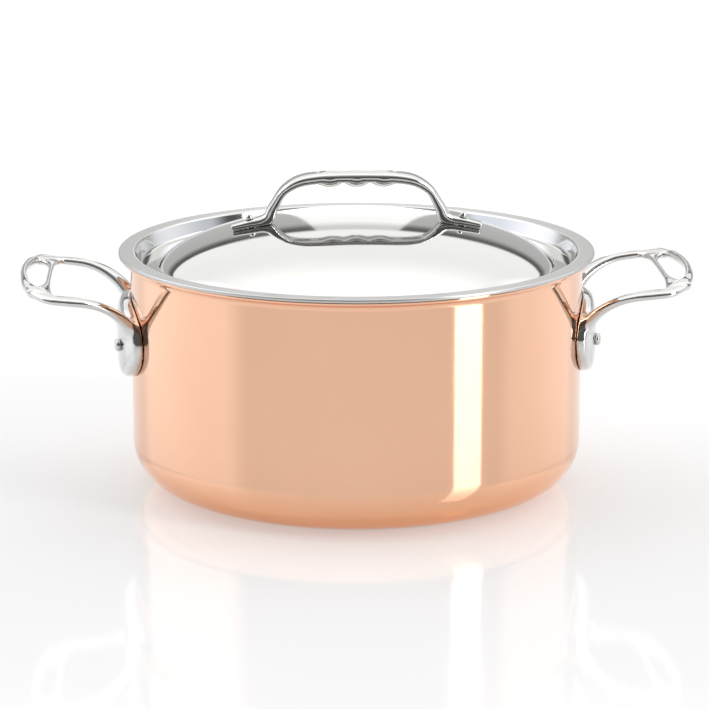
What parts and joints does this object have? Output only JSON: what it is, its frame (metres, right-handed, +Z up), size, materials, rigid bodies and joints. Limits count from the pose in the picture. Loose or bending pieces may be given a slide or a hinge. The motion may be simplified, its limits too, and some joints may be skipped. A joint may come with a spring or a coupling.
{
  "type": "lidded stewpan",
  "caption": "Straight-sided copper stewpan with a flared pouring lip, riveted steel loop handles and a recessed domed steel lid that lifts off.",
  "frame": {"origin": "middle of the base, on the surface the pan stands on", "axes": "+X towards the right side handle, -Y towards the viewer of the pan's front, +Z up"},
  "size_m": [0.3634, 0.2576, 0.1722],
  "materials": {
    "polished_copper": "mirror-polished copper",
    "lining_steel": "satin stainless steel",
    "base_steel": "turned stainless steel",
    "lid_steel": "mirror-polished stainless steel",
    "cast_steel": "polished cast stainless steel",
    "rivet_steel": "polished stainless steel"
  },
  "bodies": {
    "pan": {"base_disc": "base_steel", "copper_shell": "polished_copper", "steel_lining": "lining_steel", "side_handle_right": "cast_steel", "rivet_right_front": "rivet_steel", "rivet_right_back": "rivet_steel", "side_handle_left": "cast_steel", "rivet_left_front": "rivet_steel", "rivet_left_back": "rivet_steel"},
    "lid": {"lid_shell": "lid_steel", "lid_handle": "cast_steel", "lid_rivet_right": "rivet_steel", "lid_rivet_left": "rivet_steel"}
  },
  "joints": [
    {"name": "lid_lift", "type": "slide", "parent": "pan", "child": "lid", "axis": [0, 0, 1], "range_m": [0, 0.15]}
  ]
}
